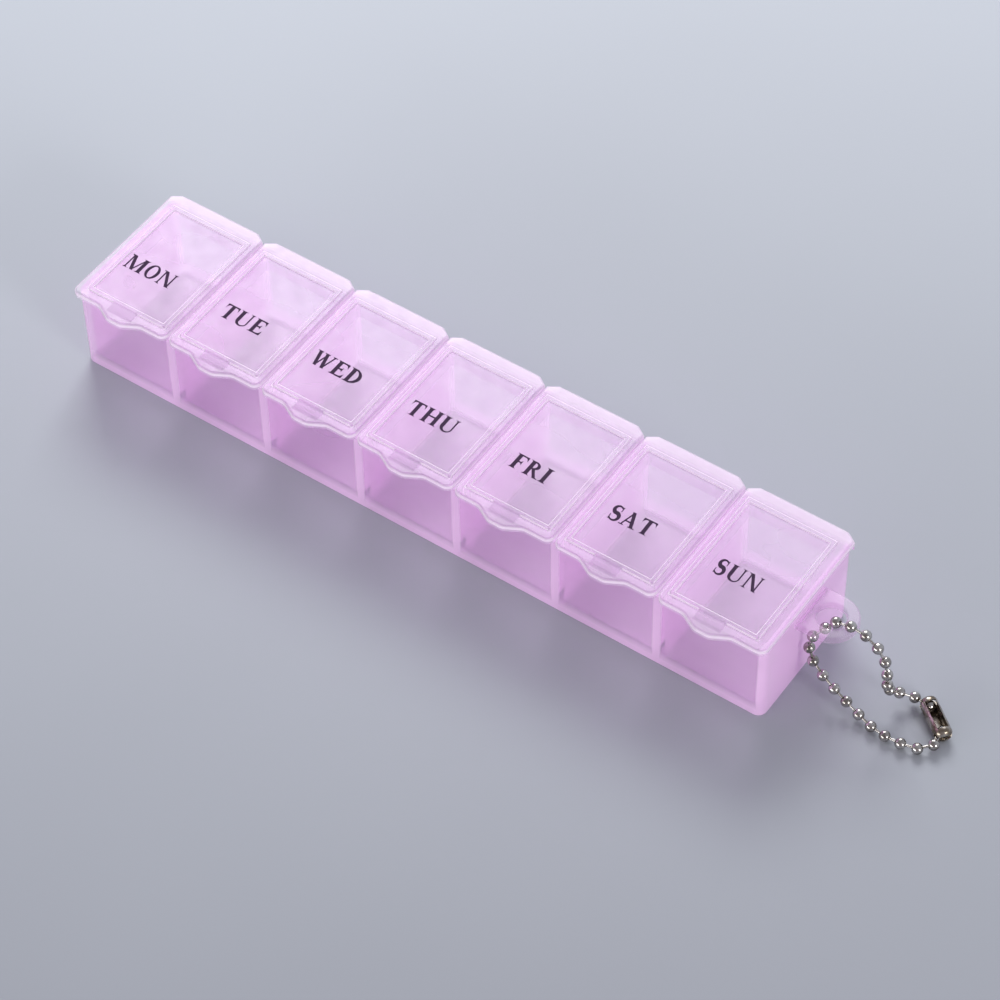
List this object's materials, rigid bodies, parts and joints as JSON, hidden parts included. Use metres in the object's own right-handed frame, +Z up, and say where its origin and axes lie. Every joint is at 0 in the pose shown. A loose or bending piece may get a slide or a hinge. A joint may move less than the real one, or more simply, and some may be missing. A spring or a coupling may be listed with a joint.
{
  "type": "weekly pill organizer",
  "caption": "Long translucent tray with a row of pill compartments, a living-hinged snap lid with a thumb tab on each, and a steel ball chain looped through a lug at one end.",
  "frame": {"origin": "centre of the tray's flat base, on the surface it stands on", "axes": "+X along the row of days from the first to the last, towards the lug; +Y to the hinge side; +Z up through the lids"},
  "size_m": [0.1794, 0.0333, 0.0203],
  "materials": {
    "tray_plastic": "translucent lilac polypropylene, glossy with a faint haze",
    "lid_plastic": "translucent lilac polypropylene, glossy with a faint haze",
    "hinge_plastic": "thin folded polypropylene, paler where it is worked",
    "bead_steel": "nickel plated, lightly scuffed",
    "link_steel": "drawn wire, nickel plated",
    "connector_steel": "rolled sheet, nickel plated, warmer inside"
  },
  "bodies": {
    "tray": {"tray": "tray_plastic", "hinge_mon": "hinge_plastic", "hinge_tue": "hinge_plastic", "hinge_wed": "hinge_plastic", "hinge_thu": "hinge_plastic", "hinge_fri": "hinge_plastic", "hinge_sat": "hinge_plastic", "hinge_sun": "hinge_plastic"},
    "lid_mon": {"lid_mon": "lid_plastic"},
    "lid_tue": {"lid_tue": "lid_plastic"},
    "lid_wed": {"lid_wed": "lid_plastic"},
    "lid_thu": {"lid_thu": "lid_plastic"},
    "lid_fri": {"lid_fri": "lid_plastic"},
    "lid_sat": {"lid_sat": "lid_plastic"},
    "lid_sun": {"lid_sun": "lid_plastic"},
    "chain": {"chain_beads": "bead_steel", "chain_links": "link_steel", "chain_connector": "connector_steel"}
  },
  "joints": [
    {"name": "lid_mon_hinge", "type": "hinge", "parent": "tray", "child": "lid_mon", "pos_m": [-0.06377, 0.01621, 0.0187], "axis": [-1, 0, 0], "range_deg": [0, 180], "deforming": ["hinge_mon"]},
    {"name": "lid_tue_hinge", "type": "hinge", "parent": "tray", "child": "lid_tue", "pos_m": [-0.04251, 0.01621, 0.0187], "axis": [-1, 0, 0], "range_deg": [0, 180], "deforming": ["hinge_tue"]},
    {"name": "lid_wed_hinge", "type": "hinge", "parent": "tray", "child": "lid_wed", "pos_m": [-0.02126, 0.01621, 0.0187], "axis": [-1, 0, 0], "range_deg": [0, 180], "deforming": ["hinge_wed"]},
    {"name": "lid_thu_hinge", "type": "hinge", "parent": "tray", "child": "lid_thu", "pos_m": [0, 0.01621, 0.0187], "axis": [-1, 0, 0], "range_deg": [0, 180], "deforming": ["hinge_thu"]},
    {"name": "lid_fri_hinge", "type": "hinge", "parent": "tray", "child": "lid_fri", "pos_m": [0.02126, 0.01621, 0.0187], "axis": [-1, 0, 0], "range_deg": [0, 180], "deforming": ["hinge_fri"]},
    {"name": "lid_sat_hinge", "type": "hinge", "parent": "tray", "child": "lid_sat", "pos_m": [0.04251, 0.01621, 0.0187], "axis": [-1, 0, 0], "range_deg": [0, 180], "deforming": ["hinge_sat"]},
    {"name": "lid_sun_hinge", "type": "hinge", "parent": "tray", "child": "lid_sun", "pos_m": [0.06377, 0.01621, 0.0187], "axis": [-1, 0, 0], "range_deg": [0, 180], "deforming": ["hinge_sun"]},
    {"name": "chain_swing", "type": "hinge", "parent": "tray", "child": "chain", "pos_m": [0.0793, 0, 0.01635], "axis": [0, 0, 1], "range_deg": [-10, 90]}
  ]
}
